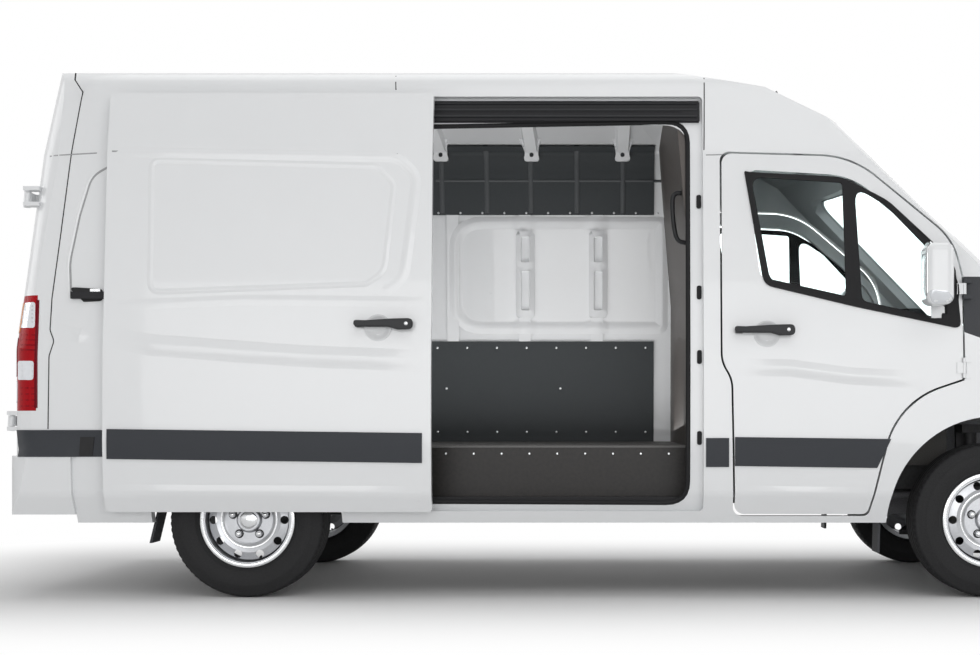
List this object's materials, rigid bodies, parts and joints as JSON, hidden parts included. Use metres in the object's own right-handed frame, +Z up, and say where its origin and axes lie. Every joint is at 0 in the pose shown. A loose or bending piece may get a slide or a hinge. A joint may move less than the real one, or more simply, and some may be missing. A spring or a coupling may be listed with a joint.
{
  "type": "cargo van",
  "caption": "High roof cargo van with an open sliding side door, hinged front and rear doors, a hinged hood, steered front wheels and a hollow cargo space.",
  "frame": {"origin": "on the ground under the middle of the whole van", "axes": "+X forwards along the van, +Y to the van's left, +Z up"},
  "size_m": [5.5932, 2.43, 2.5081],
  "materials": {
    "body_paint": "gloss white paint",
    "black_plastic": "dark unpainted plastic",
    "frame_metal": "black chassis paint",
    "cast_metal": "plain cast metal",
    "wheel_steel": "silver painted steel",
    "tyre_rubber": "black tyre rubber",
    "rubber": "black rubber",
    "clear_glass": "clear glass",
    "lamp_red": "red lamp lens",
    "lamp_clear": "clear lamp lens",
    "floor_board": "dark floor covering",
    "lining": "dark lining board",
    "partition_board": "dark bulkhead",
    "dash_plastic": "dark dashboard plastic",
    "seat_fabric": "dark seat cloth",
    "rail_metal": "bare rail metal"
  },
  "bodies": {
    "van": {"chassis_rails": "frame_metal", "engine_block": "cast_metal", "fuel_tank": "black_plastic", "exhaust": "cast_metal", "mud_flaps": "rubber", "rear_axle": "frame_metal", "front_suspension": "frame_metal", "cargo_floor": "floor_board", "cab_floor": "floor_board", "partition": "partition_board", "side_linings": "lining", "wall_posts": "body_paint", "dashboard": "dash_plastic", "cab_seats": "seat_fabric", "side_panel_right": "body_paint", "side_panel_left": "body_paint", "roof": "body_paint", "windscreen": "clear_glass", "tail_lamps": "lamp_red", "rear_bumper": "black_plastic", "sliding_door": "body_paint", "sliding_door_gear": "rail_metal", "fenders": "body_paint", "cowl": "black_plastic", "grille": "black_plastic", "headlamps": "lamp_clear", "front_bumper": "black_plastic"},
    "front_door_right": {"front_door_right": "body_paint", "front_door_glass_right": "clear_glass", "mirror_right": "body_paint"},
    "rear_door_right": {"rear_door_right": "body_paint"},
    "front_door_left": {"front_door_left": "body_paint", "front_door_glass_left": "clear_glass", "mirror_left": "body_paint"},
    "rear_door_left": {"rear_door_left": "body_paint"},
    "hood": {"hood": "body_paint"},
    "knuckle_right": {"knuckle_right": "cast_metal"},
    "knuckle_left": {"knuckle_left": "cast_metal"},
    "wheel_front_right": {"wheel_front_right": "wheel_steel", "tyre_front_right": "tyre_rubber"},
    "wheel_front_left": {"wheel_front_left": "wheel_steel", "tyre_front_left": "tyre_rubber"},
    "wheel_rear_right": {"wheel_rear_right": "wheel_steel", "tyre_rear_right": "tyre_rubber"},
    "wheel_rear_left": {"wheel_rear_left": "wheel_steel", "tyre_rear_left": "tyre_rubber"},
    "steering_wheel": {"steering_wheel": "dash_plastic"}
  },
  "joints": [
    {"name": "front_door_right_hinge", "type": "hinge", "parent": "van", "child": "front_door_right", "pos_m": [1.6215, -1.02, 1.2], "axis": [0, 0, 1], "range_deg": [0, 65]},
    {"name": "rear_door_right_hinge", "type": "hinge", "parent": "van", "child": "rear_door_right", "pos_m": [-2.779, -0.905, 0.816], "axis": [0.0711, 0, 0.9975], "range_deg": [0, 180]},
    {"name": "front_door_left_hinge", "type": "hinge", "parent": "van", "child": "front_door_left", "pos_m": [1.6215, 1.02, 1.2], "axis": [0, 0, -1], "range_deg": [0, 65]},
    {"name": "rear_door_left_hinge", "type": "hinge", "parent": "van", "child": "rear_door_left", "pos_m": [-2.779, 0.905, 0.816], "axis": [-0.0711, 0, -0.9975], "range_deg": [0, 180]},
    {"name": "hood_hinge", "type": "hinge", "parent": "van", "child": "hood", "pos_m": [2.22, 0, 1.116], "axis": [0, -1, 0], "range_deg": [0, 55]},
    {"name": "knuckle_right_steer", "type": "hinge", "parent": "van", "child": "knuckle_right", "pos_m": [1.76, -0.752, 0.356], "axis": [0, 0, 1], "range_deg": [-35, 35]},
    {"name": "knuckle_left_steer", "type": "hinge", "parent": "van", "child": "knuckle_left", "pos_m": [1.76, 0.752, 0.356], "axis": [0, 0, 1], "range_deg": [-35, 35]},
    {"name": "wheel_front_right_spin", "type": "hinge", "parent": "knuckle_right", "child": "wheel_front_right", "pos_m": [1.76, -0.852, 0.356], "axis": [0, 1, 0], "continuous": true},
    {"name": "wheel_rear_right_spin", "type": "hinge", "parent": "van", "child": "wheel_rear_right", "pos_m": [-1.675, -0.852, 0.356], "axis": [0, 1, 0], "continuous": true},
    {"name": "wheel_front_left_spin", "type": "hinge", "parent": "knuckle_left", "child": "wheel_front_left", "pos_m": [1.76, 0.852, 0.356], "axis": [0, 1, 0], "continuous": true},
    {"name": "wheel_rear_left_spin", "type": "hinge", "parent": "van", "child": "wheel_rear_left", "pos_m": [-1.675, 0.852, 0.356], "axis": [0, 1, 0], "continuous": true},
    {"name": "steering_wheel_turn", "type": "hinge", "parent": "van", "child": "steering_wheel", "pos_m": [1.25, 0.44, 1.215], "axis": [-0.5736, 0, 0.8192], "range_deg": [-450, 450]}
  ],
  "couplings": [
    {"joint": "knuckle_left_steer", "follows": "knuckle_right_steer", "ratio": 1},
    {"joint": "steering_wheel_turn", "follows": "knuckle_right_steer", "ratio": 12}
  ]
}
